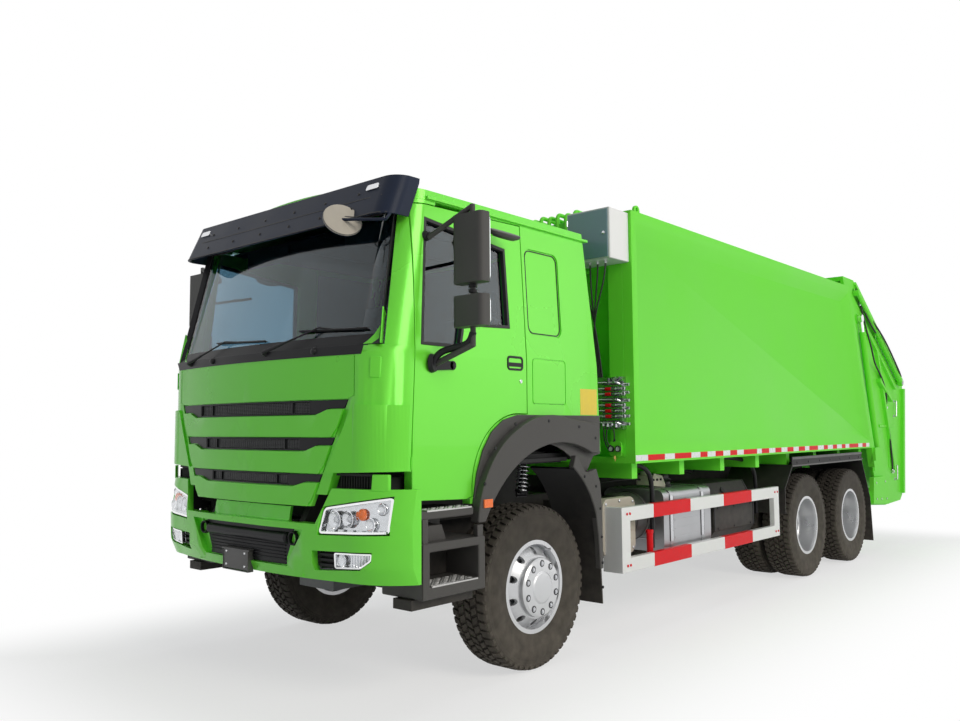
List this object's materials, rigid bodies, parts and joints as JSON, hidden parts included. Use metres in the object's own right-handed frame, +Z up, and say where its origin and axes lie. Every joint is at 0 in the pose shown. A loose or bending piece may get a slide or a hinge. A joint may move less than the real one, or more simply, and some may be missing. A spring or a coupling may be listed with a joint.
{
  "type": "rear-loading garbage truck",
  "caption": "Three-axle rear-loading refuse collection truck with a tilting cab, closed load body, ejector plate and lifting tailgate with packer mechanism.",
  "frame": {"origin": "middle of the truck's overall box, on the ground", "axes": "+Z up, -Y the way the truck drives, +X its left side"},
  "size_m": [3.12, 9.8218, 3.3828],
  "materials": {
    "paint": "gloss",
    "frame_black": "satin",
    "plastic": "matt",
    "visor": "gloss",
    "guard": "gloss",
    "wheel": "satin",
    "tyre": "matt",
    "glass": "clear",
    "lamp": "clear",
    "alloy": "brushed",
    "grey_box": "satin",
    "steel": "brushed",
    "engine": "matt",
    "seat": "matt",
    "dash": "matt",
    "chrome_rod": "polished"
  },
  "bodies": {
    "chassis": {"frame_rails": "frame_black", "crossmembers": "frame_black", "engine": "engine", "front_axle": "frame_black", "rear_axles": "frame_black", "leaf_springs": "frame_black", "fuel_tank": "alloy", "battery_box": "grey_box", "exhaust_box": "frame_black", "side_guards": "guard", "mudguards": "plastic", "steps": "plastic", "bumper": "paint", "headlamps": "lamp", "body_floor": "paint", "body_sides": "paint", "body_roof": "paint", "body_front": "paint", "control_box": "grey_box", "valve_bank": "steel"},
    "ejector": {"ejector": "paint"},
    "cab": {"cab_floor": "paint", "cab_rear": "paint", "cab_sides": "paint", "cab_front": "paint", "cab_roof": "paint", "wheel_flares": "plastic", "windscreen": "glass", "sun_visor": "visor", "dashboard": "dash", "seats": "seat"},
    "front_panel": {"front_panel": "paint"},
    "door_left": {"door_left": "paint", "door_glass_left": "glass", "mirrors_left": "plastic"},
    "door_right": {"door_right": "paint", "door_glass_right": "glass", "mirrors_right": "plastic"},
    "knuckle_left": {"knuckle_left": "frame_black"},
    "knuckle_right": {"knuckle_right": "frame_black"},
    "front_wheel_left": {"front_tyre_left": "tyre", "front_rim_left": "wheel"},
    "front_wheel_right": {"front_tyre_right": "tyre", "front_rim_right": "wheel"},
    "tailgate": {"tailgate_frame": "paint", "hopper": "paint", "slide_cylinders": "frame_black"},
    "slide": {"slide_panel": "paint"},
    "packer": {"packer_blade": "paint"},
    "lift_barrels": {"lift_barrels": "frame_black"},
    "lift_rods": {"lift_rods": "chrome_rod"},
    "rear_wheels_1_left": {"rear_tyres_1_left": "tyre", "rear_rims_1_left": "wheel"},
    "rear_wheels_1_right": {"rear_tyres_1_right": "tyre", "rear_rims_1_right": "wheel"},
    "rear_wheels_2_left": {"rear_tyres_2_left": "tyre", "rear_rims_2_left": "wheel"},
    "rear_wheels_2_right": {"rear_tyres_2_right": "tyre", "rear_rims_2_right": "wheel"}
  },
  "joints": [
    {"name": "ejector_slide", "type": "slide", "parent": "chassis", "child": "ejector", "axis": [0, 1, 0], "range_m": [0, 4.4]},
    {"name": "cab_tilt", "type": "hinge", "parent": "chassis", "child": "cab", "pos_m": [0, -4.77, 1], "axis": [1, 0, 0], "range_deg": [0, 50]},
    {"name": "front_panel_lift", "type": "hinge", "parent": "cab", "child": "front_panel", "pos_m": [0, -4.88, 1.99], "axis": [-1, 0, 0], "range_deg": [0, 70]},
    {"name": "door_left_swing", "type": "hinge", "parent": "cab", "child": "door_left", "pos_m": [1.17, -4.57, 2], "axis": [0, 0, -1], "range_deg": [0, 70]},
    {"name": "door_right_swing", "type": "hinge", "parent": "cab", "child": "door_right", "pos_m": [-1.17, -4.57, 2], "axis": [0, 0, 1], "range_deg": [0, 70]},
    {"name": "steer_left", "type": "hinge", "parent": "chassis", "child": "knuckle_left", "pos_m": [0.87, -3.42, 0.535], "axis": [0, 0, 1], "range_deg": [-33, 33]},
    {"name": "steer_right", "type": "hinge", "parent": "chassis", "child": "knuckle_right", "pos_m": [-0.87, -3.42, 0.535], "axis": [0, 0, 1], "range_deg": [-33, 33]},
    {"name": "front_wheel_left_spin", "type": "hinge", "parent": "knuckle_left", "child": "front_wheel_left", "pos_m": [1.02, -3.42, 0.535], "axis": [1, 0, 0], "continuous": true},
    {"name": "front_wheel_right_spin", "type": "hinge", "parent": "knuckle_right", "child": "front_wheel_right", "pos_m": [-1.02, -3.42, 0.535], "axis": [1, 0, 0], "continuous": true},
    {"name": "tailgate_lift", "type": "hinge", "parent": "chassis", "child": "tailgate", "pos_m": [0, 2.71, 3.345], "axis": [1, 0, 0], "range_deg": [0, 90]},
    {"name": "packer_slide", "type": "slide", "parent": "tailgate", "child": "slide", "axis": [0, 0.841, -0.541], "range_m": [0, 0.85]},
    {"name": "packer_swing", "type": "hinge", "parent": "slide", "child": "packer", "pos_m": [0, 3.425, 1.93], "axis": [1, 0, 0], "range_deg": [0, 62]},
    {"name": "lift_barrel_turn", "type": "hinge", "parent": "chassis", "child": "lift_barrels", "pos_m": [0, 3.54, 1.23], "axis": [1, 0, 0], "range_deg": [-6.52, 0.5]},
    {"name": "lift_rod_slide", "type": "slide", "parent": "lift_barrels", "child": "lift_rods", "axis": [0, -0.2548, 0.967], "range_m": [0, 0.8094]},
    {"name": "rear_wheels_1_left_spin", "type": "hinge", "parent": "chassis", "child": "rear_wheels_1_left", "pos_m": [0.91, 1.18, 0.535], "axis": [1, 0, 0], "continuous": true},
    {"name": "rear_wheels_1_right_spin", "type": "hinge", "parent": "chassis", "child": "rear_wheels_1_right", "pos_m": [-0.91, 1.18, 0.535], "axis": [1, 0, 0], "continuous": true},
    {"name": "rear_wheels_2_left_spin", "type": "hinge", "parent": "chassis", "child": "rear_wheels_2_left", "pos_m": [0.91, 2.53, 0.535], "axis": [1, 0, 0], "continuous": true},
    {"name": "rear_wheels_2_right_spin", "type": "hinge", "parent": "chassis", "child": "rear_wheels_2_right", "pos_m": [-0.91, 2.53, 0.535], "axis": [1, 0, 0], "continuous": true}
  ],
  "couplings": [
    {"joint": "steer_right", "follows": "steer_left", "ratio": 1},
    {"joint": "lift_barrel_turn", "follows": "tailgate_lift", "ratio": -0.066921},
    {"joint": "lift_rod_slide", "follows": "tailgate_lift", "m_per_rad": 0.51402}
  ]
}
